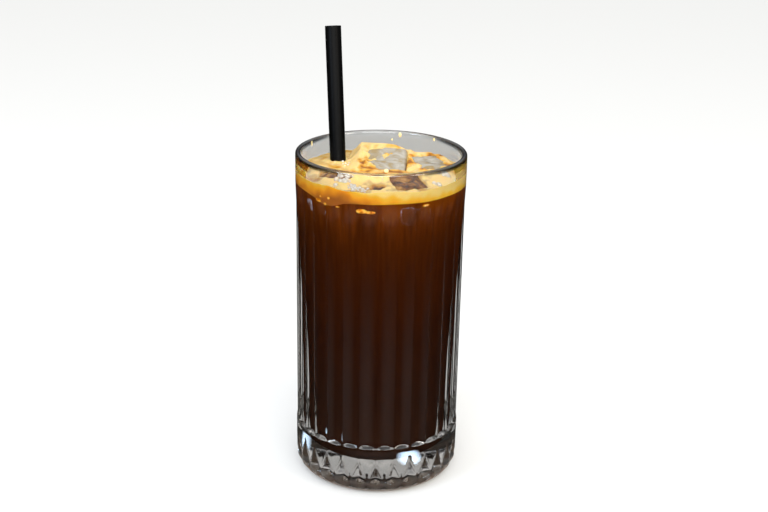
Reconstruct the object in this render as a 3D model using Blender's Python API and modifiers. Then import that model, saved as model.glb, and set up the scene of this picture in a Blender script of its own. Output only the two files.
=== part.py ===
# Iced americano in a tall fluted tumbler, with its crema, four ice cubes and a black straw.
# Metres, +Z up. The origin is the centre of the foot. The front of the drink faces -Y.

import math

import bmesh
import bpy
from mathutils import Euler, Matrix, Vector

# Tumbler: outside
GLASS_HEIGHT = 0.150
GLASS_RADIUS = 0.0372
LIP_RADIUS = 0.0012          # half the wall at the rim, which is rounded over
FOOT_RADIUS = 0.0304         # outer edge of the flat ring that it stands on
HEEL_HEIGHT = 0.0066         # the side curves in to the foot over this height
HEEL_POWER = 1.63            # 2 would be an ellipse, less is softer

# Tumbler: hollow under the foot
HOLLOW_RADIUS = 0.0270
HOLLOW_FLAT_RADIUS = 0.0220
HOLLOW_DEPTH = 0.0030

# Tumbler: inside, narrowing downwards as the wall thickens
BORE_TOP_RADIUS = GLASS_RADIUS - 2 * LIP_RADIUS
BORE_LOW_RADIUS = 0.0244
BORE_POWER = 1.4
FLOOR_HEIGHT = 0.0118
CORNER_RADIUS = 0.0110
BORE_STATIONS = (0.045, 0.072, 0.102, 0.128)

# Flutes, and the row of pointed mitre cuts round the heel
FLUTE_COUNT = 30
FLUTE_DEPTH = 0.0015
FLUTE_TOP = 0.137
FLUTE_BOTTOM = 0.0235
FLUTE_TOP_FADE = 0.010       # height over which the flutes run out at the top
FLUTE_FOOT_FADE = 0.0035     # and at the bottom
MITRE_DEPTH = 0.0020
MITRE_TOP = 0.017
MITRE_WIDEST = 0.0086
MITRE_BOTTOM = 0.0024
STEPS_PER_FLUTE = 4
OUTSIDE_STATIONS = (
    0.137, 0.1335, 0.1305, 0.127, 0.027, 0.0258, 0.0247, 0.0235, 0.017, 0.0142, 0.0114, 0.0086,
)
HEEL_STATIONS = (0.0066, 0.0044, 0.0024, 0.0009, 0.0)

# Drink and crema
GAP = 0.0003                 # between pieces that touch
DRINK_STEPS = 48
LID_RINGS = (0.2, 0.4, 0.6, 0.78, 0.92)
CREMA_TOP = 0.1414
CREMA_BOTTOM = 0.1364
CREMA_WALL_RISE = 0.0009     # how far it climbs the wall at the two sides
CREMA_SWELL = 0.00035        # unevenness of its top
CREMA_WAVES = (210.0, 170.0)
UNDER_SWELL = 0.00025        # unevenness of its underside
UNDER_WAVES = (190.0, 150.0)
BULGE_DEPTH = 0.0028         # crema trapped between an ice cube and the wall
BULGE_CENTRE = (-0.021, -0.026)
BULGE_SPREAD = 0.005

# Ice: name, centre, size, turn in degrees
ICE_CUBES = (
    ("ice_cube_back", (0.0010, 0.0130, 0.1326), (0.0210, 0.0220, 0.0240), (13.0, 2.0, -3.0)),
    ("ice_cube_right", (0.0212, 0.0078, 0.1338), (0.0160, 0.0185, 0.0200), (4.0, 3.0, 20.0)),
    ("ice_cube_left", (-0.0160, -0.0160, 0.1350), (0.0170, 0.0155, 0.0150), (-5.0, -4.0, -45.0)),
    ("ice_cube_front", (0.0108, -0.0221, 0.1352), (0.0150, 0.0135, 0.0145), (3.0, 2.0, 26.0)),
)
ICE_EDGE = 0.0026            # melted round
ICE_HOLLOW = 0.0007          # the faces have sunk this far
ICE_TAPER = 0.10             # how much smaller the lower end is

# Straw: it leans back and to the left, and its lower end is just above the floor
STRAW_RADIUS = 0.0035
STRAW_WALL = 0.0004
STRAW_STEPS = 24
STRAW_FOOT = (-0.01304, -0.00637, 0.0140)
STRAW_TOP = (-0.02186, 0.01978, 0.1997)


def between(low, high, value):
    """Smooth step from 0 at low to 1 at high."""
    share = min(1.0, max(0.0, (value - low) / (high - low)))
    return share * share * (3 - 2 * share)


def bore_radius(height):
    corner_top = FLOOR_HEIGHT + CORNER_RADIUS
    share = (height - corner_top) / (GLASS_HEIGHT - LIP_RADIUS - corner_top)
    return BORE_LOW_RADIUS + (BORE_TOP_RADIUS - BORE_LOW_RADIUS) * max(0.0, share) ** BORE_POWER


def heel_radius(height):
    if height >= HEEL_HEIGHT:
        return GLASS_RADIUS
    share = 1 - (1 - height / HEEL_HEIGHT) ** HEEL_POWER
    return FOOT_RADIUS + (GLASS_RADIUS - FOOT_RADIUS) * share ** (1 / HEEL_POWER)


def crema_top(x, y):
    swell = CREMA_SWELL * math.sin(x * CREMA_WAVES[0] + 0.6) * math.cos(y * CREMA_WAVES[1] - 0.4)
    return CREMA_TOP + CREMA_WALL_RISE * (x / BORE_TOP_RADIUS) ** 2 + swell


def crema_bottom(x, y):
    spread = (x - BULGE_CENTRE[0]) ** 2 + (y - BULGE_CENTRE[1]) ** 2
    bulge = BULGE_DEPTH * math.exp(-spread / (2 * BULGE_SPREAD ** 2))
    swell = UNDER_SWELL * math.sin(x * UNDER_WAVES[0]) * math.sin(y * UNDER_WAVES[1] + 1.0)
    return CREMA_BOTTOM + swell - bulge


def finish(name, colour, roughness, **extra):
    material = bpy.data.materials.new(name)
    material.use_nodes = True
    shader = material.node_tree.nodes["Principled BSDF"]
    shader.inputs["Base Color"].default_value = (*colour, 1.0)
    shader.inputs["Roughness"].default_value = roughness
    shader.inputs["Metallic"].default_value = 0.0
    for socket, value in extra.items():
        shader.inputs[socket.replace("_", " ")].default_value = value
    return material


def collection(name):
    group = bpy.data.collections.new(name)
    bpy.context.scene.collection.children.link(group)
    return group


def add_object(name, mesh, group, material=None):
    thing = bpy.data.objects.new(name, mesh)
    group.objects.link(thing)
    if material:
        mesh.materials.append(material)
    return thing


def turned(name, profile, steps, closed=False):
    """Mesh turned about Z from (radius, height) points that run down the outer side."""
    mesh = bpy.data.meshes.new(name)
    edges = [(i, i + 1) for i in range(len(profile) - 1)]
    if closed:
        edges.append((len(profile) - 1, 0))
    mesh.from_pydata([(radius, 0.0, height) for radius, height in profile], edges, [])
    blank = bpy.data.objects.new(name, mesh)
    bpy.context.scene.collection.objects.link(blank)
    screw = blank.modifiers.new("turn", "SCREW")
    screw.steps = steps
    screw.render_steps = steps
    screw.use_merge_vertices = True
    screw.merge_threshold = 0.00001
    bpy.context.view_layer.update()
    graph = bpy.context.evaluated_depsgraph_get()
    result = bpy.data.meshes.new_from_object(blank.evaluated_get(graph))
    bpy.data.objects.remove(blank)
    result.name = name
    return result


def arc(centre, radius, start, end, count):
    points = []
    for i in range(count + 1):
        angle = math.radians(start + (end - start) * i / count)
        points.append((centre[0] + radius * math.cos(angle), centre[1] + radius * math.sin(angle)))
    return points


def bore_profile(inset, top):
    """Axis to wall to top, drawn in from the glass by inset."""
    corner = (BORE_LOW_RADIUS - CORNER_RADIUS, FLOOR_HEIGHT + CORNER_RADIUS)
    points = [(0.0, FLOOR_HEIGHT + inset)]
    points += arc(corner, CORNER_RADIUS - inset, -90, 0, 4)
    points += [(bore_radius(height) - inset, height) for height in BORE_STATIONS if height < top]
    points.append((bore_radius(top) - inset, top))
    return points


def glass_profile():
    lip = GLASS_HEIGHT - LIP_RADIUS
    points = bore_profile(0.0, lip)[:-1]
    points += arc((GLASS_RADIUS - LIP_RADIUS, lip), LIP_RADIUS, 180, 0, 4)
    points += [(GLASS_RADIUS, height) for height in OUTSIDE_STATIONS]
    points += [(heel_radius(height), height) for height in HEEL_STATIONS]
    points += [(HOLLOW_RADIUS, 0.0), (HOLLOW_FLAT_RADIUS, HOLLOW_DEPTH), (0.0, HOLLOW_DEPTH)]
    return points


def cut_depth(height, azimuth):
    """How far the flutes and mitre cuts go into the outside, there."""
    pitch = 2 * math.pi / FLUTE_COUNT
    along = ((azimuth + math.pi / 2) / pitch) % 1.0
    middle = 1 - abs(2 * along - 1)          # 0 on a ridge, 1 in the middle of a flute
    flute = between(FLUTE_BOTTOM, FLUTE_BOTTOM + FLUTE_FOOT_FADE, height)
    flute *= 1 - between(FLUTE_TOP - FLUTE_TOP_FADE, FLUTE_TOP, height)
    depth = FLUTE_DEPTH * flute * middle * (2 - middle)
    if MITRE_WIDEST < height < MITRE_TOP:
        opening = (MITRE_TOP - height) / (MITRE_TOP - MITRE_WIDEST)
        depth += MITRE_DEPTH * opening * max(0.0, 1 - middle / opening)
    elif MITRE_BOTTOM < height <= MITRE_WIDEST:
        closing = (height - MITRE_BOTTOM) / (MITRE_WIDEST - MITRE_BOTTOM)
        depth += MITRE_DEPTH * closing * (1 - middle)
    return depth


def build_glass(group):
    mesh = turned("glass", glass_profile(), FLUTE_COUNT * STEPS_PER_FLUTE)
    for vertex in mesh.vertices:
        radius = math.hypot(vertex.co.x, vertex.co.y)
        on_outside = radius > heel_radius(vertex.co.z) - GAP
        if on_outside and vertex.co.z < FLUTE_TOP:
            azimuth = math.atan2(vertex.co.y, vertex.co.x)
            scale = 1 - cut_depth(vertex.co.z, azimuth) / radius
            vertex.co.x *= scale
            vertex.co.y *= scale
    clear = finish("pressed_glass", (1.0, 1.0, 1.0), 0.0, IOR=1.52, Transmission_Weight=1.0)
    glass = add_object("glass", mesh, group, clear)
    mesh.shade_smooth()
    mesh.set_sharp_from_angle(angle=math.radians(25))
    return glass


def lay_lid(mesh, level, heights):
    """Moves the vertices of a flat lid at a level to an uneven surface."""
    for vertex in mesh.vertices:
        if math.isclose(vertex.co.z, level, abs_tol=0.00001):
            vertex.co.z = heights(vertex.co.x, vertex.co.y)


def clearance(name, mesh, matrix, group):
    """Cutter a little larger than the piece that it makes room for."""
    cutter = add_object(name, mesh.copy(), group)
    cutter.matrix_world = matrix
    swell = cutter.modifiers.new("room", "DISPLACE")
    swell.strength = GAP
    swell.mid_level = 0.0
    cutter.hide_render = True
    cutter.display_type = "WIRE"
    return cutter


def cut_round(piece, cutters):
    for cutter in cutters:
        cut = piece.modifiers.new("cut_" + cutter.name, "BOOLEAN")
        cut.operation = "DIFFERENCE"
        cut.object = cutter


def build_drink(group, cutters):
    top = CREMA_BOTTOM - GAP
    profile = bore_profile(GAP, top)
    edge = profile[-1][0]
    profile += [(edge * share, top) for share in reversed(LID_RINGS)] + [(0.0, top)]
    profile.reverse()
    mesh = turned("coffee", profile, DRINK_STEPS)
    lay_lid(mesh, top, lambda x, y: crema_bottom(x, y) - GAP)
    coffee = add_object("coffee", mesh, group, finish("coffee", (0.035, 0.012, 0.004), 0.1))
    cut_round(coffee, cutters)
    return coffee


def build_crema(group, cutters):
    low_edge = bore_radius(CREMA_BOTTOM) - GAP
    high_edge = bore_radius(CREMA_TOP) - GAP
    profile = [(0.0, CREMA_TOP)] + [(high_edge * share, CREMA_TOP) for share in LID_RINGS]
    profile += [(high_edge, CREMA_TOP), (low_edge, CREMA_BOTTOM)]
    profile += [(low_edge * share, CREMA_BOTTOM) for share in reversed(LID_RINGS)]
    profile.append((0.0, CREMA_BOTTOM))
    mesh = turned("crema", profile, DRINK_STEPS)
    lay_lid(mesh, CREMA_TOP, crema_top)
    lay_lid(mesh, CREMA_BOTTOM, crema_bottom)
    crema = add_object("crema", mesh, group, finish("crema", (0.85, 0.42, 0.06), 0.6))
    cut_round(crema, cutters)
    return crema


def ice_mesh(name, size):
    """A cube with melted edges, sunken faces and a narrower lower end."""
    shape = bmesh.new()
    bmesh.ops.create_cube(shape, size=1.0)
    for vertex in shape.verts:
        narrow = 1 - ICE_TAPER * (0.5 - vertex.co.z)
        vertex.co *= Vector((narrow * size[0], narrow * size[1], size[2]))
    edges = shape.edges[:]
    rounded = bmesh.ops.bevel(shape, geom=edges, offset=ICE_EDGE, segments=2, profile=0.5, affect="EDGES")
    sides = [face for face in shape.faces if face not in rounded["faces"]]
    bmesh.ops.inset_individual(shape, faces=sides, thickness=ICE_EDGE, depth=0.0)
    bmesh.ops.inset_individual(shape, faces=sides, thickness=ICE_EDGE, depth=-ICE_HOLLOW)
    mesh = bpy.data.meshes.new(name)
    shape.to_mesh(mesh)
    shape.free()
    mesh.shade_smooth()
    return mesh


def build_ice(group, cutter_group):
    clear = finish("ice", (0.92, 0.95, 1.0), 0.08, IOR=1.31, Transmission_Weight=1.0)
    cutters = []
    for name, centre, size, turn in ICE_CUBES:
        mesh = ice_mesh(name, size)
        cube = add_object(name, mesh, group, clear)
        cube.location = centre
        cube.rotation_euler = Euler([math.radians(angle) for angle in turn])
        matrix = Matrix.LocRotScale(cube.location, cube.rotation_euler, None)
        cutters.append(clearance("room_for_" + name, mesh, matrix, cutter_group))
    return cutters


def straw_matrix():
    foot = Vector(STRAW_FOOT)
    axis = Vector(STRAW_TOP) - foot
    return Matrix.Translation(foot) @ axis.to_track_quat("Z", "Y").to_matrix().to_4x4(), axis.length


def build_straw(group, cutter_group):
    matrix, length = straw_matrix()
    inner = STRAW_RADIUS - STRAW_WALL
    profile = [(inner, length), (STRAW_RADIUS, length), (STRAW_RADIUS, 0.0), (inner, 0.0)]
    mesh = turned("straw", profile, STRAW_STEPS, closed=True)
    straw = add_object("straw", mesh, group, finish("black_plastic", (0.012, 0.012, 0.014), 0.45))
    mesh.shade_smooth()
    mesh.set_sharp_from_angle(angle=math.radians(40))
    straw.matrix_world = matrix
    outline = [(0.0, length), (STRAW_RADIUS + GAP, length), (STRAW_RADIUS + GAP, -GAP), (0.0, -GAP)]
    cutter = add_object("room_for_straw", turned("room_for_straw", outline, STRAW_STEPS), cutter_group)
    cutter.matrix_world = matrix
    cutter.hide_render = True
    cutter.display_type = "WIRE"
    return cutter


def build():
    for leftover in list(bpy.data.objects):
        bpy.data.objects.remove(leftover)
    group = collection("iced_americano")
    cutter_group = collection("cutters")
    build_glass(group)
    cutters = build_ice(group, cutter_group)
    cutters.append(build_straw(group, cutter_group))
    build_drink(group, cutters)
    build_crema(group, cutters)


build()
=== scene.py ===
import math
import random

import bpy
from mathutils import Euler, Matrix, Quaternion, Vector, noise


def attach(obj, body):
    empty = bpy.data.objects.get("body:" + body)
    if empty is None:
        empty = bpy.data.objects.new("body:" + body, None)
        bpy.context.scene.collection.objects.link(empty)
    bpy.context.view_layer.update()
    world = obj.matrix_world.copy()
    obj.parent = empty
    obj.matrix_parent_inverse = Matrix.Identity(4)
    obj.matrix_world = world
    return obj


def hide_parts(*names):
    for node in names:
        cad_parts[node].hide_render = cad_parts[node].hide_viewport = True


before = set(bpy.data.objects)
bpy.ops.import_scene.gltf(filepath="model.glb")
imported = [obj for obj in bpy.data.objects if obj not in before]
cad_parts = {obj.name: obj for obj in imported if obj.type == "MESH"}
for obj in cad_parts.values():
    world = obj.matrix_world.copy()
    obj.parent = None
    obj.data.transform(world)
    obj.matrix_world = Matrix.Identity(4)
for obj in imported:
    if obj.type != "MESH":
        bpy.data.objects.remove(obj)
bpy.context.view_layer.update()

mm = 0.001


# small helpers

def hexToLinear(code):  # sRGB hex to linear colour
    parts = [int(code[i:i + 2], 16) / 255 for i in (1, 3, 5)]
    return [c / 12.92 if c <= 0.04045 else ((c + 0.055) / 1.055) ** 2.4 for c in parts] + [1.0]


def addNode(tree, kind, settings=None, links=None):  # stops hold a ramp's places and hex colours
    node = tree.nodes.new(kind)
    for key, value in (settings or {}).items():
        if key == "stops":
            while len(node.color_ramp.elements) < len(value):
                node.color_ramp.elements.new(0.5)
            for element, (place, colour) in zip(node.color_ramp.elements, value):
                element.position = place
                element.color = hexToLinear(colour)
        elif isinstance(key, int) or key in node.inputs:
            node.inputs[key].default_value = value
        else:
            setattr(node, key, value)
    for key, source in (links or {}).items():
        tree.links.new(source, node.inputs[key])
    return node


def newMaterial(name, settings):
    material = bpy.data.materials.new(name)
    material.use_nodes = True
    shader = material.node_tree.nodes["Principled BSDF"]
    for key, value in settings.items():
        shader.inputs[key].default_value = value
    return material, material.node_tree, shader


def smooth(low, high, value):
    share = min(1.0, max(0.0, (value - low) / (high - low)))
    return share * share * (3 - 2 * share)


def clearSelection():
    if bpy.context.object and bpy.context.object.mode != "OBJECT":
        bpy.ops.object.mode_set(mode="OBJECT")
    bpy.ops.object.select_all(action="DESELECT")


def placeInMesh(piece):  # the object goes back to the origin and its place into the mesh
    clearSelection()
    piece.select_set(True)
    bpy.context.view_layer.objects.active = piece
    bpy.ops.object.transform_apply(location=True, rotation=True, scale=True)


def applyModifiers(piece):
    clearSelection()
    piece.select_set(True)
    bpy.context.view_layer.objects.active = piece
    for modifier in list(piece.modifiers):
        bpy.ops.object.modifier_apply(modifier=modifier.name)


def turnRings(name, profile, steps):  # a ring drawn along (radius, height) points, both ends closed
    clearSelection()
    radius, height = profile[0]
    bpy.ops.mesh.primitive_circle_add(vertices=steps, radius=radius, location=(0, 0, height))
    piece = bpy.context.object
    piece.name = name
    placeInMesh(piece)
    bpy.ops.object.mode_set(mode="EDIT")
    bpy.ops.mesh.select_mode(type="VERT")
    bpy.ops.mesh.select_all(action="SELECT")
    for newRadius, newHeight in profile[1:]:
        bpy.ops.mesh.extrude_region_move(TRANSFORM_OT_translate={"value": (0, 0, newHeight - height)})
        share = newRadius / radius
        bpy.ops.transform.resize(value=(share, share, 1), center_override=(0, 0, newHeight))
        radius, height = newRadius, newHeight
    bpy.ops.mesh.extrude_region_move(TRANSFORM_OT_translate={"value": (0, 0, 0)})
    bpy.ops.mesh.merge(type="CENTER")
    bpy.ops.mesh.select_all(action="DESELECT")
    bpy.ops.object.mode_set(mode="OBJECT")
    for vertex in piece.data.vertices[:steps]:
        vertex.select = True
    bpy.ops.object.mode_set(mode="EDIT")
    bpy.ops.mesh.extrude_region_move(TRANSFORM_OT_translate={"value": (0, 0, 0)})
    bpy.ops.mesh.merge(type="CENTER")
    bpy.ops.mesh.select_all(action="SELECT")
    bpy.ops.mesh.normals_make_consistent(inside=False)
    bpy.ops.object.mode_set(mode="OBJECT")
    return piece


def shadeSmooth(piece, degrees):
    clearSelection()
    piece.select_set(True)
    bpy.context.view_layer.objects.active = piece
    bpy.ops.object.shade_smooth_by_angle(angle=math.radians(degrees))


def arcPoints(centre, radius, start, end, count):
    angles = [math.radians(start + (end - start) * i / count) for i in range(count + 1)]
    return [(centre[0] + radius * math.cos(a), centre[1] + radius * math.sin(a)) for a in angles]


def finishPiece(piece, material, slotName, *nodes):
    piece.data.materials.clear()
    piece.data.materials.append(material)
    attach(piece, "root")
    if nodes:
        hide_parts(*nodes)


# tumbler: pressed soda-lime glass, fluted, with a row of mitre cuts round the heel

tumbler = {
    "height": 150 * mm, "radius": 37.2 * mm, "lip": 1.2 * mm,
    "foot": 30.4 * mm, "heelHeight": 6.6 * mm, "heelPower": 1.63,
    "hollowRadius": 27 * mm, "hollowFlat": 22 * mm, "hollowDepth": 3 * mm,
    "boreTop": 34.8 * mm, "boreLow": 24.4 * mm, "borePower": 1.4,
    "floor": 11.8 * mm, "corner": 11 * mm,
    "flutes": 30, "stepsPerFlute": 16, "fluteDepth": 1.5 * mm,
    "fluteTop": 137 * mm, "fluteBottom": 23.5 * mm, "fluteFade": (2.0 * mm, 10 * mm),
    "shoulderDepth": 0.3 * mm, "shoulderRun": 1.4 * mm,
    "mitreDepth": 2 * mm, "mitreTop": 17 * mm, "mitreWidest": 8.6 * mm, "mitreBottom": 2.4 * mm,
    # rings of the outside, close together where its slope changes
    "rings": [0, 0.3, 0.9, 1.6, 2.4, 3.4, 4.4, 5.5, 6.6, 7.6, 8.6, 9.8, 11, 12.5, 14, 15.5, 17, 20, 22]
    + [23.5 + 0.2 * i for i in range(11)]
    + [27, 30, 36, 45, 60, 75, 90, 105, 118] + list(range(127, 138)) + [141, 145],
}


def boreRadius(height):
    t = tumbler
    cornerTop = t["floor"] + t["corner"]
    share = max(0.0, (height - cornerTop) / (t["height"] - t["lip"] - cornerTop))
    return t["boreLow"] + (t["boreTop"] - t["boreLow"]) * share ** t["borePower"]


def heelRadius(height):
    t = tumbler
    if height >= t["heelHeight"]:
        return t["radius"]
    share = 1 - (1 - height / t["heelHeight"]) ** t["heelPower"]
    return t["foot"] + (t["radius"] - t["foot"]) * share ** (1 / t["heelPower"])


def borePoints(out, top, count):  # from the floor's middle up the wall, moved outwards by out
    t = tumbler
    corner = (t["boreLow"] - t["corner"], t["floor"] + t["corner"])
    points = [(6 * mm, t["floor"] - out), (11 * mm, t["floor"] - out)]
    points += arcPoints(corner, t["corner"] + out, -90, 0, 10)
    for i in range(1, count + 1):
        height = corner[1] + (top - corner[1]) * i / count
        points.append((boreRadius(height) + out, height))
    return points


def fluteDepthAt(height, azimuth):
    t = tumbler
    turn = ((azimuth + math.pi / 2) * t["flutes"] / (2 * math.pi)) % 1.0
    middle = 1 - abs(2 * turn - 1)  # 0 on a ridge, 1 in the middle of a flute
    footFade, topFade = t["fluteFade"]
    below = 1 - smooth(t["fluteTop"] - topFade, t["fluteTop"], height)
    run = smooth(t["fluteBottom"], t["fluteBottom"] + footFade, height) * below
    shoulder = smooth(t["fluteBottom"], t["fluteBottom"] + t["shoulderRun"], height) * below
    depth = (t["fluteDepth"] - t["shoulderDepth"]) * run * middle * (2 - middle)
    depth += t["shoulderDepth"] * shoulder
    if t["mitreWidest"] < height < t["mitreTop"]:
        opening = (t["mitreTop"] - height) / (t["mitreTop"] - t["mitreWidest"])
        depth += t["mitreDepth"] * opening * max(0.0, 1 - middle / opening)
    elif t["mitreBottom"] < height <= t["mitreWidest"]:
        closing = (height - t["mitreBottom"]) / (t["mitreWidest"] - t["mitreBottom"])
        depth += t["mitreDepth"] * closing * (1 - middle)
    return depth


def buildTumbler():
    t = tumbler
    lip = t["height"] - t["lip"]
    profile = [(8 * mm, t["hollowDepth"]), (16 * mm, t["hollowDepth"]), (t["hollowFlat"], t["hollowDepth"]),
               (23 * mm, 2.6 * mm), (25 * mm, 1.2 * mm), (t["hollowRadius"], 0.0)]
    profile += [(heelRadius(z * mm), z * mm) for z in t["rings"]]
    profile += arcPoints((t["radius"] - t["lip"], lip), t["lip"], 0, 180, 10)
    profile += list(reversed(borePoints(0.0, lip, 26)))[1:]
    piece = turnRings("glassTumbler", profile, t["flutes"] * t["stepsPerFlute"])
    deepest = max(t["fluteDepth"], t["mitreDepth"])
    cuts = piece.vertex_groups.new(name="cuts")
    for vertex in piece.data.vertices:
        x, y, z = vertex.co
        if math.hypot(x, y) > heelRadius(z) - 0.1 * mm and z < t["fluteTop"]:
            weight = fluteDepthAt(z, math.atan2(y, x)) / deepest
            if weight > 0:
                cuts.add([vertex.index], weight, "REPLACE")
    press = piece.modifiers.new("press", "DISPLACE")
    press.strength = -deepest
    press.mid_level = 0.0
    press.vertex_group = "cuts"
    applyModifiers(piece)
    shadeSmooth(piece, 35)
    return piece


glassLook = {
    # heights, and distances to the side or the back, between which a tint comes in: painted shade at the
    # lip's sides and on the back wall above the drink, scuffs and a painted tan reflection at the foot
    "lip": (147.4 * mm, 149.2 * mm), "lipSides": (16 * mm, 31 * mm), "lipTurn": -0.12,
    "back": (-4 * mm, 12 * mm), "overDrink": (136 * mm, 142 * mm),
    # painted shade: the back wall above the drink turns grey, the rest of the glass stays near clear
    "body": [(0.0, "#FCFCFC"), (1.0, "#BEBFBE")],
    # painted shade: the lip goes dark at its left and right sides
    "lipPaintedShade": [(0.0, "#FFFFFF"), (0.2, "#E6E7E7"), (0.4, "#55575B"), (1.0, "#141618")],
    "foot": (3.4 * mm, 0.8 * mm), "footClear": 0.62, "footRoughness": 0.3,
    # the foot is scuffed and matt, and its tan colour is a painted reflection
    "scuffsAndPaintedTan": [(0.0, "#FFFFFF"), (1.0, "#BCA488")],
    "runOut": 130.5 * mm, "runOutReach": (7.5 * mm, 4.5 * mm), "runOutRoughness": 0.16,
    "haze": (0.5, 0.49, 0.468, 1.0), "hazeDensity": 30.0,
}


def glassMaterial():
    # pressed soda-lime glass, fire-polished: clear, faintly grey where it is thick, with painted shade that
    # greys the back wall above the drink and darkens the lip at the sides, scuffed round the foot that it
    # stands on with a painted tan reflection there, and a little less polished where the flutes run out
    look = glassLook
    material, tree, shader = newMaterial("pressedSodaLimeGlass", {
        "Roughness": 0.0, "IOR": 1.52, "Transmission Weight": 1.0})
    place = addNode(tree, "ShaderNodeTexCoord")
    axes = addNode(tree, "ShaderNodeSeparateXYZ", links={0: place.outputs["Object"]})
    across, along, height = axes.outputs
    start, full = look["lip"]
    nearLip = addNode(tree, "ShaderNodeMapRange", {1: start, 2: full}, {0: height})
    toSide = addNode(tree, "ShaderNodeMath", {"operation": "ABSOLUTE"}, {0: across})
    aside = addNode(tree, "ShaderNodeMath", {"operation": "MULTIPLY_ADD", 1: look["lipTurn"]},
                    {0: along, 2: toSide.outputs[0]})
    start, full = look["lipSides"]
    edgeOn = addNode(tree, "ShaderNodeMapRange", {1: start, 2: full}, {0: aside.outputs[0]})
    # painted shade: the lip darkens towards its left and right sides, a little further round at the front
    paintedRimShade = addNode(tree, "ShaderNodeMath", {"operation": "MULTIPLY"},
                   {0: nearLip.outputs[0], 1: edgeOn.outputs[0]})
    start, full = look["back"]
    behind = addNode(tree, "ShaderNodeMapRange", {1: start, 2: full}, {0: along})
    start, full = look["overDrink"]
    above = addNode(tree, "ShaderNodeMapRange", {1: start, 2: full}, {0: height})
    back = addNode(tree, "ShaderNodeMath", {"operation": "MULTIPLY"},
                   {0: behind.outputs[0], 1: above.outputs[0]})
    # painted shade: grey on the back wall above the drink
    body = addNode(tree, "ShaderNodeValToRGB", {"stops": look["body"]}, {0: back.outputs[0]})
    lip = addNode(tree, "ShaderNodeValToRGB", {"stops": look["lipPaintedShade"]}, {0: paintedRimShade.outputs[0]})
    # the painted shade of the back wall and of the lip, together
    tint = addNode(tree, "ShaderNodeMix", {"data_type": "RGBA", "blend_type": "MULTIPLY", 0: 1.0},
                   {6: body.outputs[0], 7: lip.outputs[0]})
    start, full = look["foot"]
    foot = addNode(tree, "ShaderNodeMapRange", {1: start, 2: full}, {0: height})
    # real scuffs make the foot matt and less clear; the tan given to it is a painted reflection
    scuffsAndPaintedTan = addNode(tree, "ShaderNodeValToRGB", {"stops": look["scuffsAndPaintedTan"]}, {0: foot.outputs[0]})
    shadedAndWorn = addNode(tree, "ShaderNodeMix", {"data_type": "RGBA", "blend_type": "MULTIPLY", 0: 1.0},
                   {6: tint.outputs[2], 7: scuffsAndPaintedTan.outputs[0]})
    tree.links.new(shadedAndWorn.outputs[2], shader.inputs["Base Color"])
    clear = addNode(tree, "ShaderNodeMapRange", {3: 1.0, 4: look["footClear"]}, {0: foot.outputs[0]})
    tree.links.new(clear.outputs[0], shader.inputs["Transmission Weight"])
    matt = addNode(tree, "ShaderNodeMapRange", {3: 0.0, 4: look["footRoughness"]}, {0: foot.outputs[0]})
    offRunOut = addNode(tree, "ShaderNodeMath", {"operation": "SUBTRACT", 1: look["runOut"]}, {0: height})
    apart = addNode(tree, "ShaderNodeMath", {"operation": "ABSOLUTE"}, {0: offRunOut.outputs[0]})
    start, full = look["runOutReach"]
    soft = addNode(tree, "ShaderNodeMapRange", {1: start, 2: full, 3: 0.0, 4: look["runOutRoughness"]},
                   {0: apart.outputs[0]})
    rough = addNode(tree, "ShaderNodeMath", {"operation": "ADD"}, {0: matt.outputs[0], 1: soft.outputs[0]})
    tree.links.new(rough.outputs[0], shader.inputs["Roughness"])
    haze = addNode(tree, "ShaderNodeVolumeAbsorption", {
        "Color": look["haze"], "Density": look["hazeDensity"]})
    tree.links.new(haze.outputs[0], tree.nodes["Material Output"].inputs["Volume"])
    return material


# coffee and crema

drink = {
    "intoWall": 0.15 * mm, "cremaIntoWall": 0.2 * mm, "steps": 240,
    "cremaTop": 141.4 * mm, "cremaBottom": 136.4 * mm, "wallRise": 0.9 * mm,
    "bulgeDepth": 2.8 * mm, "bulgeCentre": (-21 * mm, -26 * mm), "bulgeSpread": 5 * mm,
    "underRipple": 0.25 * mm,
}

# centre and size in mm, turn in degrees; cover is how much foam lies on top, patches how much it varies,
# and crest how it leans over the top and the most that it rises there
iceCubes = (
    {"name": "iceCubeBack", "node": "ice_cube_back", "hazy": True,
     "centre": (1.0, 13.0, 132.6), "size": (21, 22, 24), "turn": (13, 2, -3),
     "cover": -0.5, "patches": 2.0, "crest": ((-0.15, 0.06), 2.4)},
    {"name": "iceCubeRight", "node": "ice_cube_right", "hazy": True,
     "centre": (21.2, 7.8, 133.8), "size": (16, 18.5, 20), "turn": (4, 3, 20),
     "cover": -0.45, "patches": 2.0, "crest": ((0.05, 0.05), 1.4)},
    {"name": "iceCubeLeft", "node": "ice_cube_left", "hazy": False,
     "centre": (-16.0, -16.0, 135.0), "size": (17, 15.5, 15), "turn": (-5, -4, -45),
     "cover": 0.7, "patches": 1.4, "crest": ((0.0, 0.2), 0.8)},
    {"name": "iceCubeFront", "node": "ice_cube_front", "hazy": False,
     "centre": (10.8, -22.1, 135.2), "size": (15, 13.5, 14.5), "turn": (3, 2, 26),
     "cover": -0.8, "patches": 1.1, "crest": ((0.03, 0.08), 0.8)},
)

melt = {
    "cornerRound": 2.9 * mm, "dish": 0.7 * mm, "dishFrom": (2.6 * mm, 5.2 * mm), "bevel": 2.6 * mm,
    "narrowing": 0.10, "ripple": 0.22 * mm, "ripplesPerMetre": 260,
}

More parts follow.
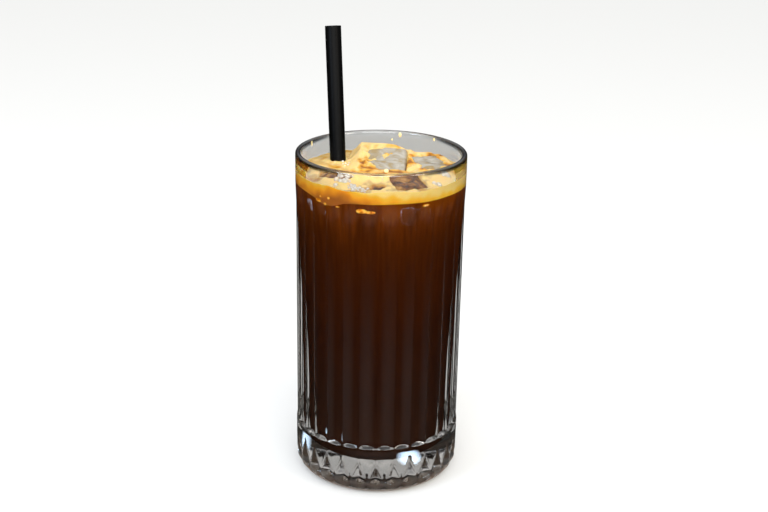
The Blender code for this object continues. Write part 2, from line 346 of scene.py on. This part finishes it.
foam = {
    "bare": -2.2 * mm, "spread": 5.5 * mm, "climb": 2.4 * mm,
    "roll": 0.35 * mm, "swell": 0.5 * mm, "swellAcross": 7 * mm,
    "pores": 0.22 * mm, "poreAcross": 1.7 * mm, "finePoreAcross": 0.8 * mm,
    "notch": (-1.3 * mm, -27.2 * mm), "notchRadius": 3.0 * mm, "notchDepth": 1.8 * mm,
    "strawAt": (-19.6 * mm, 12.2 * mm), "strawReach": 3.8 * mm, "strawClimb": 0.9 * mm,
    # golden places on top: painted shade in front of the back and right cubes and in the gap between them,
    # and further golden places round the cubes; plan position and spread in mm, amount
    "goldenShadeSpots": ((-5, -8, 3.5, 0.5), (1, -5, 3.5, 0.7), (7, -4, 3, 0.6), (11.8, 5, 3, 0.8), (20, -6, 4, 0.5),
               (27, 14, 4, 0.5), (-4, 24, 4, 0.5), (14, 22, 3, 0.5), (-24, -12, 4, 0.4)),
    # where the side is darker, over the drop of crema at the front left
    "sideDarkCentre": (-17 * mm, -30 * mm), "sideDarkSpread": 6.5 * mm, "sideDarkAmount": 0.42,
    # the second is painted light: the crema top is paler towards the front
    "goldenEdge": 0.5, "paintedLightFront": 0.25,
}


def noiseAt(x, y, scale, seed):
    return noise.noise(Vector((x / scale, y / scale, seed)))


def iceTopAt(cube, x, y):  # height of the cube's melted top there, and how far inside its outline that is
    width, length, tall = [value * mm for value in cube["size"]]
    turn = Euler([math.radians(angle) for angle in cube["turn"]]).to_matrix()
    normal = turn @ Vector((0, 0, 1))
    top = Vector(cube["centre"]) * mm + normal * (tall / 2)
    plane = top.z - (normal.x * (x - top.x) + normal.y * (y - top.y)) / normal.z
    local = turn.transposed() @ Vector((x - top.x, y - top.y, plane - top.z))
    u, v = abs(local.x) - width / 2, abs(local.y) - length / 2
    inside = -max(u, v) if max(u, v) < 0 else -math.hypot(max(u, 0), max(v, 0))
    edge = melt["cornerRound"]
    short = min(edge, max(0.0, edge - inside))
    fall = edge - math.sqrt(edge * edge - short * short)
    dish = melt["dish"] * smooth(*melt["dishFrom"], inside)
    return plane - fall - dish, plane, inside, local


def coverAt(cube, x, y, local):  # above 0 foam lies on the ice, below 0 the ice is bare
    cx = cube["centre"][0]
    drift = noiseAt(x, y, 6.5 * mm, 9.7 + cx * 0.1) + 0.5 * noiseAt(x, y, 2.6 * mm, 4.2 + cx * 0.1)
    lean = cube["crest"][0]
    return cube["cover"] + cube["patches"] * drift + (lean[0] * local.x + lean[1] * local.y) / mm, drift


def cremaTopAt(x, y):
    f = foam
    level = drink["cremaTop"] + drink["wallRise"] * (x / tumbler["boreTop"]) ** 2
    level += f["roll"] * math.sin(x * 210 + 0.6) * math.cos(y * 170 - 0.4)
    level += f["swell"] * noiseAt(x, y, f["swellAcross"], 1.3)
    level += f["pores"] * noiseAt(x, y, f["poreAcross"], 5.1)
    level += 0.5 * f["pores"] * noiseAt(x, y, f["finePoreAcross"], 2.4)
    offWall = smooth(34.0 * mm, 30.0 * mm, math.hypot(x, y))
    stem = math.hypot(x - f["strawAt"][0], y - f["strawAt"][1]) - f["strawReach"]
    level += f["strawClimb"] * smooth(3.2 * mm, 0.0, stem) * (1 + 0.6 * noiseAt(x, y, 3 * mm, 3.3))
    hole = math.hypot(x - f["notch"][0], y - f["notch"][1]) / f["notchRadius"]
    level -= f["notchDepth"] * smooth(1.25, 0.6, hole + 0.35 * noiseAt(x, y, 2 * mm, 8.0))
    for cube in iceCubes:
        iceTop, plane, inside, local = iceTopAt(cube, x, y)
        cover, drift = coverAt(cube, x, y, local)
        rim = plane + min(0.7, max(-1.5, 0.2 + 0.8 * cover)) * mm
        if inside > 0:  # over the ice: a skin of foam, or none
            thick = cover * mm if cover > 0 else cover * 2.2 * mm
            ragged = 0.5 * noiseAt(x, y, 1.3 * mm, 7.7) * mm
            most = cube["crest"][1] * mm * 0.6
            laid = iceTop + min(max(thick, f["bare"]), most) + ragged * smooth(-1.0, 0.5, cover)
            climb = smooth(0.0, f["climb"], inside + 1.6 * ragged)
            return max(rim + (laid - rim) * climb, level - 2.0 * mm)
        near = smooth(f["spread"] * (1 + 0.6 * drift), 0.0, -inside)
        level += max(0.0, rim - level) * near * (0.3 + 0.7 * offWall)
    return level


def cremaBottomAt(x, y):
    d = drink
    away = (x - d["bulgeCentre"][0]) ** 2 + (y - d["bulgeCentre"][1]) ** 2
    bulge = d["bulgeDepth"] * math.exp(-away / (2 * d["bulgeSpread"] ** 2))
    return d["cremaBottom"] + d["underRipple"] * math.sin(x * 190) * math.sin(y * 150 + 1.0) - bulge


def cutRound(piece, cutters):
    for cutter in cutters:
        cut = piece.modifiers.new("cut", "BOOLEAN")
        cut.operation = "DIFFERENCE"
        cut.solver = "MANIFOLD"
        cut.object = cutter
    applyModifiers(piece)


def buildCoffee(cutters):
    d = drink
    top = d["cremaBottom"] + 0.3 * mm
    points = borePoints(d["intoWall"], top, 24)
    edge = points[-1][0]
    points += [(edge * share, top) for share in (0.97, 0.92, 0.85, 0.75, 0.62, 0.48, 0.34, 0.2, 0.08)]
    piece = turnRings("coffeeBody", points, d["steps"])
    for vertex in piece.data.vertices:
        if abs(vertex.co.z - top) < 0.001 * mm:
            vertex.co.z = cremaBottomAt(vertex.co.x, vertex.co.y) + 0.3 * mm
    cutRound(piece, cutters)
    shadeSmooth(piece, 40)
    return piece


def buildCrema(cutters):
    d = drink
    top, low = d["cremaTop"], d["cremaBottom"]
    rings = 64
    lidRadius = boreRadius(top) + d["cremaIntoWall"]
    points = [(lidRadius * i / rings, top) for i in range(1, rings + 1)]
    side = 8
    for i in range(1, side + 1):
        height = top + (low - top) * i / side
        points.append((boreRadius(height) + d["cremaIntoWall"], height))
    edge = points[-1][0]
    points += [(edge * share, low) for share in (0.9, 0.7, 0.5, 0.3, 0.1)]
    piece = turnRings("cremaFoam", points, d["steps"])
    for vertex in piece.data.vertices:
        x, y, z = vertex.co
        share = (z - low) / (top - low)
        if share > 0.999:
            vertex.co.z = cremaTopAt(x, y)
        else:
            bottom = cremaBottomAt(x, y)
            wallTop = cremaTopAt(x, y) if math.hypot(x, y) > 0.9 * edge else top
            vertex.co.z = bottom + (wallTop - bottom) * max(0.0, share)
    cutRound(piece, cutters)
    shadeSmooth(piece, 60)
    return piece


def buildIce():
    pieces = []
    for cube in iceCubes:
        clearSelection()
        bpy.ops.mesh.primitive_cube_add(size=1.0, location=[value * mm for value in cube["centre"]],
                                        rotation=[math.radians(angle) for angle in cube["turn"]])
        piece = bpy.context.object
        piece.name = cube["name"]
        piece.scale = [value * mm for value in cube["size"]]
        bpy.ops.object.transform_apply(location=False, rotation=False, scale=True)
        bpy.ops.object.mode_set(mode="EDIT")
        bpy.ops.mesh.select_all(action="SELECT")
        bpy.ops.mesh.bevel(offset=melt["bevel"], segments=3, profile=0.5, affect="EDGES")
        bpy.ops.mesh.select_all(action="DESELECT")
        bpy.ops.object.mode_set(mode="OBJECT")
        lowest = min(vertex.co.z for vertex in piece.data.vertices)
        height = -2 * lowest
        for face in piece.data.polygons:
            face.select = face.area > 60 * mm * mm
        for vertex in piece.data.vertices:
            narrow = 1 - melt["narrowing"] * (0.5 - vertex.co.z / height)
            vertex.co.x *= narrow
            vertex.co.y *= narrow
        bpy.ops.object.mode_set(mode="EDIT")
        bpy.ops.mesh.select_mode(type="FACE")
        bpy.ops.mesh.inset(thickness=melt["dishFrom"][0], depth=0.0, use_individual=True)
        bpy.ops.mesh.inset(thickness=melt["dishFrom"][0], depth=-melt["dish"], use_individual=True)
        bpy.ops.object.mode_set(mode="OBJECT")
        softened = piece.modifiers.new("softened", "SUBSURF")
        softened.levels = 2
        softened.render_levels = 2
        applyModifiers(piece)
        for vertex in piece.data.vertices:
            ripple = noise.noise(vertex.co * melt["ripplesPerMetre"] + Vector((cube["centre"][0], 0, 0)))
            vertex.co += vertex.normal * ripple * melt["ripple"]
        placeInMesh(piece)
        bpy.ops.object.shade_smooth()
        pieces.append(piece)
    return pieces


def iceCutters(pieces):  # a touch smaller than each cube, so that the drink reaches just into the ice
    cutters = []
    for piece in pieces:
        cutter = piece.copy()
        cutter.data = piece.data.copy()
        bpy.context.scene.collection.objects.link(cutter)
        shrink = cutter.modifiers.new("shrink", "DISPLACE")
        shrink.strength = -0.1 * mm
        shrink.mid_level = 0.0
        applyModifiers(cutter)
        cutters.append(cutter)
    return cutters


coffeeLook = {
    "depths": (12 * mm, 137 * mm), "drift": 30 * mm,
    # patterns for each metre: broad wisps and fine threads, both drawn out upwards
    "wisps": (90.0, 90.0, 22.0), "threads": (520.0, 520.0, 10.0),
    "stops": [(0.0, "#382014"), (0.25, "#32190D"), (0.5, "#341505"), (0.72, "#3E1802"), (0.86, "#4C2002"),
              (0.95, "#602A03"), (1.0, "#743602")],
}


def coffeeMaterial():
    # long black coffee: a clear brown liquid, amber where light comes down through the crema
    look = coffeeLook
    material, tree, shader = newMaterial("brewedCoffee", {
        "Roughness": 0.6, "IOR": 1.34, "Specular IOR Level": 0.0})
    place = addNode(tree, "ShaderNodeTexCoord")
    height = addNode(tree, "ShaderNodeSeparateXYZ", links={0: place.outputs["Object"]})
    broad = addNode(tree, "ShaderNodeMapping", {"Scale": look["wisps"]}, {0: place.outputs["Object"]})
    wisps = addNode(tree, "ShaderNodeTexNoise", {"Scale": 1.0, "Detail": 3.0}, {0: broad.outputs[0]})
    fine = addNode(tree, "ShaderNodeMapping", {"Scale": look["threads"]}, {0: place.outputs["Object"]})
    threads = addNode(tree, "ShaderNodeTexNoise", {"Scale": 1.0, "Detail": 2.0}, {0: fine.outputs[0]})
    mixed = addNode(tree, "ShaderNodeMath", {"operation": "ADD"},
                    {0: wisps.outputs[0], 1: threads.outputs[0]})
    shift = addNode(tree, "ShaderNodeMath", {
        "operation": "MULTIPLY_ADD", 1: look["drift"], 2: -look["drift"]}, {0: mixed.outputs[0]})
    level = addNode(tree, "ShaderNodeMath", {"operation": "ADD"},
                    {0: height.outputs[2], 1: shift.outputs[0]})
    low, high = look["depths"]
    share = addNode(tree, "ShaderNodeMapRange", {1: low, 2: high}, {0: level.outputs[0]})
    colour = addNode(tree, "ShaderNodeValToRGB", {"stops": look["stops"]}, {0: share.outputs[0]})
    tree.links.new(colour.outputs[0], shader.inputs["Base Color"])
    return material


def sideToneAt(x, y, z, grain):  # golden and darker low down, paler to the right
    f = foam
    away = (x - f["sideDarkCentre"][0]) ** 2 + (y - f["sideDarkCentre"][1]) ** 2
    tone = (z - 133 * mm) / (8 * mm) + 0.24 * x / tumbler["boreTop"]
    return tone - f["sideDarkAmount"] * math.exp(-away / (2 * f["sideDarkSpread"] ** 2)) + 0.22 * grain


def topToneAt(x, y, z):  # swirled, golden at the bare ice and in the painted shade round the cubes, paler at the front as painted light, dark in the small hole
    f = foam
    curl = noiseAt(x * 0.8 + y * 0.4, y * 1.3, 5 * mm, 6.6) + 0.6 * noiseAt(x, y, 1.9 * mm, 2.9)
    tone = smooth(drink["cremaTop"] - 1.6 * mm, drink["cremaTop"] + 1.2 * mm, z) + 0.75 * curl
    # painted shade: golden spots in front of and between the ice cubes
    for cx, cy, spread, amount in f["goldenShadeSpots"]:
        away = math.hypot(x - cx * mm, y - cy * mm) / (spread * mm)
        tone -= amount * math.exp(-away * away)
    for cube in iceCubes:
        inside, local = iceTopAt(cube, x, y)[2:]
        if inside > -1.0 * mm and cube["hazy"]:
            tone -= f["goldenEdge"] * smooth(1.3, 0.1, abs(coverAt(cube, x, y, local)[0]))
    # painted light: the crema top is paler towards the front, under the front wall of the glass
    tone = max(0.14, min(0.85, tone) + f["paintedLightFront"] * smooth(-8 * mm, -17 * mm, y))
    hole = math.hypot(x - f["notch"][0], y - f["notch"][1]) / f["notchRadius"]
    return tone * smooth(0.7, 0.95, hole + 0.3 * noiseAt(x, y, 2 * mm, 8.0))


def paintCrema(piece):  # foamTone: 0 dark and golden, 1 pale, holding wet and dry crema, painted shade and painted light; foamWall: 1 where it touches the glass
    tones = piece.data.attributes.new("foamTone", "FLOAT", "POINT")
    walls = piece.data.attributes.new("foamWall", "FLOAT", "POINT")
    for vertex in piece.data.vertices:
        x, y, z = vertex.co
        onWall = math.hypot(x, y) > boreRadius(z) + 0.1 * mm
        grain = noise.noise(vertex.co * 300)
        tone = sideToneAt(x, y, z, grain) if onWall else topToneAt(x, y, z)
        tones.data[vertex.index].value = min(1.0, max(0.0, tone))
        walls.data[vertex.index].value = 1.0 if onWall else 0.0


cremaLook = {
    "side": [(0.0, "#A85C02"), (0.3, "#E08804"), (0.55, "#FFB010"), (0.8, "#FFC63A"), (1.0, "#FFDC80")],
    "top": [(0.0, "#3A1A06"), (0.1, "#5A2E06"), (0.16, "#8A560A"), (0.3, "#AC7416"), (0.5, "#BE9038"),
            (0.8, "#C2A468"), (1.0, "#EAC678")],
    "cellsPerMetre": 1500.0,  # bubbles of about 0.7 mm, coarser than real crema so that they show
}


def cremaMaterial():
    # fine coffee foam: matt, cream on top and golden where it is wet and thin, with painted shade near the
    # ice and painted light at the front
    look = cremaLook
    material, tree, shader = newMaterial("coffeeCrema", {
        "Roughness": 0.5, "Specular IOR Level": 0.3, "Subsurface Weight": 0.35,
        "Subsurface Radius": (1.0, 0.45, 0.12), "Subsurface Scale": 2.5 * mm})
    tone = addNode(tree, "ShaderNodeAttribute", {"attribute_name": "foamTone"})
    wall = addNode(tree, "ShaderNodeAttribute", {"attribute_name": "foamWall"})
    side = addNode(tree, "ShaderNodeValToRGB", {"stops": look["side"]}, {0: tone.outputs["Fac"]})
    top = addNode(tree, "ShaderNodeValToRGB", {"stops": look["top"]}, {0: tone.outputs["Fac"]})
    colour = addNode(tree, "ShaderNodeMix", {"data_type": "RGBA"},
                     {0: wall.outputs["Fac"], 6: top.outputs[0], 7: side.outputs[0]})
    tree.links.new(colour.outputs[2], shader.inputs["Base Color"])
    place = addNode(tree, "ShaderNodeTexCoord")
    cells = addNode(tree, "ShaderNodeTexVoronoi", {"Scale": look["cellsPerMetre"]},
                    {0: place.outputs["Object"]})
    bump = addNode(tree, "ShaderNodeBump", {"Strength": 0.35, "Distance": 0.2 * mm},
                   {"Height": cells.outputs[0]})
    tree.links.new(bump.outputs[0], shader.inputs["Normal"])
    return material


iceLooks = {
    "veinsPerMetre": 190.0, "wavesPerMetre": 260.0,
    "clearIce": {"tints": ("#4A2406", "#80490F", "#D29A44"), "haze": 0.6, "gloss": 0.12},
    "airyIce": {"tints": ("#9A8458", "#A39B8A", "#B4AEA0"), "haze": 0.7, "gloss": 0.4},
}


def iceMaterial(name):
    # melting ice, wet: clear and tinted by the coffee, or milky with trapped air where haze is high
    look = iceLooks[name]
    material, tree, shader = newMaterial(name, {
        "Roughness": 0.08 + 0.2 * look["haze"], "IOR": 1.31, "Transmission Weight": 1.0 - look["haze"],
        "Specular IOR Level": look["gloss"]})
    place = addNode(tree, "ShaderNodeTexCoord")
    veins = addNode(tree, "ShaderNodeTexNoise", {
        "Scale": iceLooks["veinsPerMetre"], "Detail": 5.0, "Distortion": 1.2}, {0: place.outputs["Object"]})
    stops = list(zip((0.32, 0.5, 0.66), look["tints"]))
    tint = addNode(tree, "ShaderNodeValToRGB", {"stops": stops}, {0: veins.outputs[0]})
    tree.links.new(tint.outputs[0], shader.inputs["Base Color"])
    waves = addNode(tree, "ShaderNodeTexNoise", {"Scale": iceLooks["wavesPerMetre"], "Detail": 3.0},
                    {0: place.outputs["Object"]})
    bump = addNode(tree, "ShaderNodeBump", {"Strength": 0.5, "Distance": 0.8 * mm},
                   {"Height": waves.outputs[0]})
    tree.links.new(bump.outputs[0], shader.inputs["Normal"])
    return material


# bubbles on the crema, drops on the wall, pale drops and bright flecks that paint glints, and flecks of crema
# under it

bubbles = {
    "seed": 7, "sunk": 0.25,
    "clusters": (  # centre, spread, count, smallest and largest radius, in mm
        ((-15.0, -22.5), 2.8, 48, 0.3, 1.1), ((-11.5, -28.5), 2.6, 40, 0.25, 0.9),
        ((-6.5, -31.0), 1.8, 14, 0.25, 0.6),
        ((27.0, -13.5), 1.2, 8, 0.4, 1.1), ((23.5, -22.5), 1.4, 9, 0.35, 1.0),
        ((-15.5, 6.5), 3.5, 10, 0.25, 0.6),
        ((4.0, -15.0), 5.0, 10, 0.2, 0.5), ((18.0, -12.0), 4.0, 8, 0.2, 0.5)),
}

# azimuth from the front in degrees and height in mm, then width, height and thickness in mm
drops = (
    {"at": (166.0, 148.4), "size": (1.5, 2.3, 0.5)}, {"at": (137.0, 148.6), "size": (1.2, 1.5, 0.4)},
    {"at": (-117.0, 148.3), "size": (0.8, 2.6, 0.4)}, {"at": (172.0, 146.0), "size": (0.8, 1.0, 0.3)},
)

# crema sunk in the coffee at -13, -7.4 and 33 degrees; the bright specks round the crema's drop at the front
# left paint glints
flecks = (
    {"at": (-13.0, 133.3), "size": (4.4, 2.0, 0.8)}, {"at": (-7.4, 133.0), "size": (5.0, 1.3, 0.6)},
    {"at": (33.0, 135.0), "size": (3.2, 0.9, 0.5)}, {"at": (-47.3, 134.9), "size": (3.6, 1.6, 0.9)},
    {"at": (-41.0, 134.2), "size": (2.6, 1.6, 0.8)}, {"at": (-38.0, 136.8), "size": (1.8, 1.3, 0.7)},
    {"at": (-45.0, 136.7), "size": (1.8, 1.0, 0.6)}, {"at": (-31.0, 134.0), "size": (2.2, 0.7, 0.5)},
)

glintDrops = ((2.3, -4.6, 1.05), (2.4, -11.2, 1.0))  # pale drops that paint two glints on the crema: plan and radius in mm


def addBall(name, place, size, turn, finest):
    bpy.ops.mesh.primitive_ico_sphere_add(subdivisions=finest, radius=0.5, location=place,
                                          rotation=(0, 0, turn))
    ball = bpy.context.object
    ball.name = name
    ball.scale = size
    return ball


def joinPieces(pieces, name):
    clearSelection()
    for piece in pieces:
        piece.select_set(True)
    bpy.context.view_layer.objects.active = pieces[0]
    bpy.ops.object.join()
    piece = bpy.context.object
    piece.name = name
    bpy.context.scene.cursor.location = (0, 0, 0)
    placeInMesh(piece)
    bpy.ops.object.shade_smooth()
    return piece


def buildBubbles():
    rng = random.Random(bubbles["seed"])
    domes = []
    for centre, spread, count, smallest, largest in bubbles["clusters"]:
        for i in range(count):
            x = (centre[0] + rng.gauss(0, spread * 0.6)) * mm
            y = (centre[1] + rng.gauss(0, spread * 0.6)) * mm
            radius = rng.uniform(smallest, largest) * mm
            if math.hypot(x, y) > 33.0 * mm:
                continue
            z = cremaTopAt(x, y) + radius * bubbles["sunk"]
            domes.append(addBall("bubble", (x, y, z), (2 * radius, 2 * radius, 1.7 * radius), 0, 2))
    return joinPieces(domes, "cremaBubbles")


def buildWallDrops(name, places, radiusOut):
    balls = []
    for item in places:
        azimuth, height = math.radians(item["at"][0]), item["at"][1] * mm
        reach = boreRadius(height) + radiusOut
        width, tall, thick = [value * mm for value in item["size"]]
        spot = (reach * math.sin(azimuth), -reach * math.cos(azimuth), height)
        balls.append(addBall(name, spot, (width, thick, tall), azimuth, 3))
    return balls


def bubbleMaterial():
    # thin wet film of coffee over trapped air
    return newMaterial("bubbleFilm", {
        "Base Color": hexToLinear("#FFF9EC"), "Roughness": 0.03, "IOR": 1.45, "Transmission Weight": 0.45})[0]


def dropMaterial():
    # single drops of pale crema; two lie on the crema as painted glints
    return newMaterial("cremaDropsAndGlints", {
        "Base Color": hexToLinear("#F2D79C"), "Roughness": 0.3, "Subsurface Weight": 0.3,
        "Subsurface Radius": (1.0, 0.5, 0.2), "Subsurface Scale": 0.8 * mm})[0]


def fleckMaterial():
    # crema sunk in the coffee, seen through a film of it; the bright specks round the crema's drop paint
    # glints
    material, tree, shader = newMaterial("sunkCremaAndGlints", {"Roughness": 0.5, "Specular IOR Level": 0.1})
    place = addNode(tree, "ShaderNodeTexCoord")
    mottle = addNode(tree, "ShaderNodeTexNoise", {"Scale": 700.0, "Detail": 3.0},
                     {0: place.outputs["Object"]})
    stops = [(0.35, "#C46C04"), (0.5, "#FFA01A"), (0.62, "#FFCC50")]
    colour = addNode(tree, "ShaderNodeValToRGB", {"stops": stops}, {0: mottle.outputs[0]})
    tree.links.new(colour.outputs[0], shader.inputs["Base Color"])
    return material


# straw

straw = {
    "radius": 3.5 * mm, "wall": 0.4 * mm, "steps": 64,
    "foot": (-13.04, -6.37, 14.0), "top": (-21.86, 19.78, 199.7), "endRound": 0.12 * mm,
}


def strawMatrix():
    foot = Vector(straw["foot"]) * mm
    axis = Vector(straw["top"]) * mm - foot
    return Matrix.Translation(foot) @ axis.to_track_quat("Z", "Y").to_matrix().to_4x4(), axis.length


def buildStraw():
    matrix, length = strawMatrix()
    clearSelection()
    bpy.ops.mesh.primitive_cylinder_add(vertices=straw["steps"], radius=straw["radius"], depth=length,
                                        end_fill_type="NOTHING", location=(0, 0, length / 2))
    piece = bpy.context.object
    piece.name = "drinkingStraw"
    placeInMesh(piece)
    wall = piece.modifiers.new("wall", "SOLIDIFY")
    wall.thickness = straw["wall"]
    wall.offset = -1.0
    rounding = piece.modifiers.new("rounding", "BEVEL")
    rounding.width = straw["endRound"]
    rounding.segments = 2
    rounding.limit_method = "ANGLE"
    rounding.angle_limit = math.radians(60)
    applyModifiers(piece)
    piece.data.transform(matrix)
    shadeSmooth(piece, 40)
    return piece


def strawCutter():
    matrix, length = strawMatrix()
    clearSelection()
    bpy.ops.mesh.primitive_cylinder_add(vertices=straw["steps"], radius=straw["radius"] - 0.05 * mm,
                                        depth=length, location=(0, 0, length / 2))
    cutter = bpy.context.object
    placeInMesh(cutter)
    cutter.data.transform(matrix)
    return cutter


def strawMaterial():
    # extruded black polypropylene: deep black with a soft satin sheen along the tube
    return newMaterial("blackPolypropylene", {
        "Base Color": hexToLinear("#020202"), "Roughness": 0.42, "IOR": 1.49, "Specular IOR Level": 0.06})[0]


# floor, light and camera

studio = {
    "floorSize": 8.0, "floorColour": "#D4D4D2", "skyStrength": 1.52,
    # colours from straight down, 0, to straight up, 1; the floor hides the lower ones but glass reflects them
    "sky": [(0.0, "#6A5C50"), (0.12, "#8A7462"), (0.2, "#8A7462"), (0.27, "#262422"), (0.42, "#1E1D1C"),
            (0.52, "#2A2A2A"), (0.62, "#56565A"), (0.7, "#C8CACE"), (0.78, "#FFFFFF")],
    "frontGlow": 0.14, "frontGlowAcross": (-0.55, -0.93), "frontGlowUpTo": (0.335, 0.29),
    # azimuth from the front and height in degrees, half width and half height, strength
    "windows": ((49, -28.35, 18.0, 0.42, 20.0), (-122, -27.7, 14.0, 0.6, 6.0)),
    "windowColour": "#CFE8FF",
    # name, place, height that it points at, size, watts, colour
    "softboxes": (("softboxLeft", (-0.6, -0.5, 0.5), 0.08, (0.3, 0.3), 3.2, "#D8E8FF"),
                  ("softboxRight", (0.6, -0.5, 0.45), 0.08, (0.25, 0.25), 2.4, "#FFF6E8"),
                  ("softboxFront", (0.1, -1.3, 0.75), 0.1, (1.2, 0.8), 20, "#FFFFFF")),
}

camera = {
    "distance": 0.6, "elevation": 22.09, "roll": 1.02, "aimHeight": 75 * mm,
    "lens": 62.02, "shiftX": 0.00716, "shiftY": 0.0720,
}


def buildFloor():
    clearSelection()
    bpy.ops.mesh.primitive_plane_add(size=studio["floorSize"], location=(0, 0, 0))
    floor = bpy.context.object
    floor.name = "studioFloor"
    floor.data.materials.append(newMaterial("paleStudioPaper", {
        "Base Color": hexToLinear(studio["floorColour"]), "Roughness": 0.9, "Specular IOR Level": 0.0})[0])
    floor.visible_glossy = False


def addWindow(tree, direction, height, window):  # an oval pane with soft edges, seen only as a catchlight
    azimuth, tilt, wide, tall, power = window
    turn, dip = math.radians(azimuth), math.radians(tilt)
    toWindow = (math.cos(dip) * math.sin(turn), -math.cos(dip) * math.cos(turn), math.sin(dip))
    facing = addNode(tree, "ShaderNodeVectorMath", {"operation": "DOT_PRODUCT", 1: toWindow}, {0: direction})
    across = addNode(tree, "ShaderNodeMapRange", {1: 1.0, 2: math.cos(math.radians(wide)), "clamp": False},
                     {0: facing.outputs["Value"]})
    offset = addNode(tree, "ShaderNodeMath", {"operation": "SUBTRACT", 1: math.sin(dip)}, {0: height})
    reach = math.cos(dip) * math.radians(tall)
    away = addNode(tree, "ShaderNodeMath", {"operation": "DIVIDE", 1: reach}, {0: offset.outputs[0]})
    upright = addNode(tree, "ShaderNodeMath", {"operation": "MULTIPLY"},
                      {0: away.outputs[0], 1: away.outputs[0]})
    oval = addNode(tree, "ShaderNodeMath", {"operation": "ADD"},
                   {0: across.outputs[0], 1: upright.outputs[0]})
    glint = addNode(tree, "ShaderNodeMapRange", {1: 1.0, 2: 0.2, 4: power}, {0: oval.outputs[0]})
    pane = addNode(tree, "ShaderNodeMix", {
        "data_type": "RGBA", "blend_type": "MULTIPLY", 0: 1.0, 7: hexToLinear(studio["windowColour"])},
        {6: glint.outputs[0]})
    return pane.outputs[2]


def buildSky():
    world = bpy.data.worlds.new("studioSky")
    world.use_nodes = True
    bpy.context.scene.world = world
    tree = world.node_tree
    place = addNode(tree, "ShaderNodeTexCoord")
    direction = place.outputs["Generated"]
    parts = addNode(tree, "ShaderNodeSeparateXYZ", links={0: direction})
    share = addNode(tree, "ShaderNodeMapRange", {1: -1.0, 2: 1.0}, {0: parts.outputs[2]})
    colour = addNode(tree, "ShaderNodeValToRGB", {"stops": studio["sky"]}, {0: share.outputs[0]})
    start, full = studio["frontGlowAcross"]
    front = addNode(tree, "ShaderNodeMapRange", {1: start, 2: full, 4: studio["frontGlow"]},
                    {0: parts.outputs[1]})
    start, full = studio["frontGlowUpTo"]
    below = addNode(tree, "ShaderNodeMapRange", {1: start, 2: full}, {0: share.outputs[0]})
    glow = addNode(tree, "ShaderNodeMath", {"operation": "MULTIPLY"},
                   {0: front.outputs[0], 1: below.outputs[0]})
    lights = [glow.outputs[0]]
    lights += [addWindow(tree, direction, parts.outputs[2], window) for window in studio["windows"]]
    total = colour.outputs[0]
    for light in lights:
        summed = addNode(tree, "ShaderNodeMix", {"data_type": "RGBA", "blend_type": "ADD", 0: 1.0},
                         {6: total, 7: light})
        total = summed.outputs[2]
    tree.links.new(total, tree.nodes["Background"].inputs[0])
    tree.nodes["Background"].inputs[1].default_value = studio["skyStrength"]


def addSoftbox(name, place, aimHeight, size, power, colour):
    light = bpy.data.lights.new(name, "AREA")
    light.shape = "RECTANGLE"
    light.size, light.size_y = size
    light.energy = power
    light.color = hexToLinear(colour)[:3]
    holder = bpy.data.objects.new(name, light)
    bpy.context.scene.collection.objects.link(holder)
    holder.location = place
    holder.rotation_euler = (Vector((0, 0, aimHeight)) - Vector(place)).to_track_quat("-Z", "Y").to_euler()


def buildCamera():
    c = camera
    lens = bpy.data.cameras.new("camera")
    holder = bpy.data.objects.new("camera", lens)
    bpy.context.scene.collection.objects.link(holder)
    tilt = math.radians(c["elevation"])
    aim = Vector((0, 0, c["aimHeight"]))
    holder.location = aim + c["distance"] * Vector((0, -math.cos(tilt), math.sin(tilt)))
    holder.rotation_mode = "QUATERNION"
    turn = (aim - holder.location).to_track_quat("-Z", "Y")
    holder.rotation_quaternion = turn @ Quaternion((0, 0, 1), math.radians(c["roll"]))
    lens.sensor_width = 36
    lens.lens = c["lens"]
    lens.shift_x, lens.shift_y = c["shiftX"], c["shiftY"]
    bpy.context.scene.camera = holder


buildCamera()
buildFloor()
buildSky()
for softbox in studio["softboxes"]:
    addSoftbox(*softbox)
bpy.context.scene.view_settings.view_transform = "Standard"
print("camera, floor and light are placed")

glassPiece = buildTumbler()
finishPiece(glassPiece, glassMaterial(), "pressed_glass", "glass")
print("tumbler is pressed")

icePieces = buildIce()
clearIce = iceMaterial("clearIce")
airyIce = iceMaterial("airyIce")
for piece, cube in zip(icePieces, iceCubes):
    finishPiece(piece, airyIce if cube["hazy"] else clearIce, "ice", cube["node"])
cutters = iceCutters(icePieces) + [strawCutter()]
print("ice is melted to shape")

coffeePiece = buildCoffee(cutters)
finishPiece(coffeePiece, coffeeMaterial(), "coffee", "coffee")
print("coffee is poured")

cremaPiece = buildCrema(cutters)
paintCrema(cremaPiece)
finishPiece(cremaPiece, cremaMaterial(), "crema", "crema")
print("crema is laid")
for cutter in cutters:
    bpy.data.objects.remove(cutter)

bubblePiece = buildBubbles()
finishPiece(bubblePiece, bubbleMaterial(), "crema")
dropPieces = buildWallDrops("wallDrop", drops, -0.1 * mm)
# two pale drops on the crema that paint glints
for x, y, radius in glintDrops:
    spot = (x * mm, y * mm, cremaTopAt(x * mm, y * mm) + 0.5 * radius * mm)
    size = (2 * radius * mm, 2 * radius * mm, 1.8 * radius * mm)
    dropPieces.append(addBall("glintDrop", spot, size, 0, 3))
finishPiece(joinPieces(dropPieces, "cremaDropsAndGlints"), dropMaterial(), "crema")
finishPiece(joinPieces(buildWallDrops("fleck", flecks, 0.15 * mm), "cremaFlecksAndGlints"), fleckMaterial(), "crema")
print("bubbles, drops and flecks are placed")

strawPiece = buildStraw()
finishPiece(strawPiece, strawMaterial(), "black_plastic", "straw")
print("straw is placed")
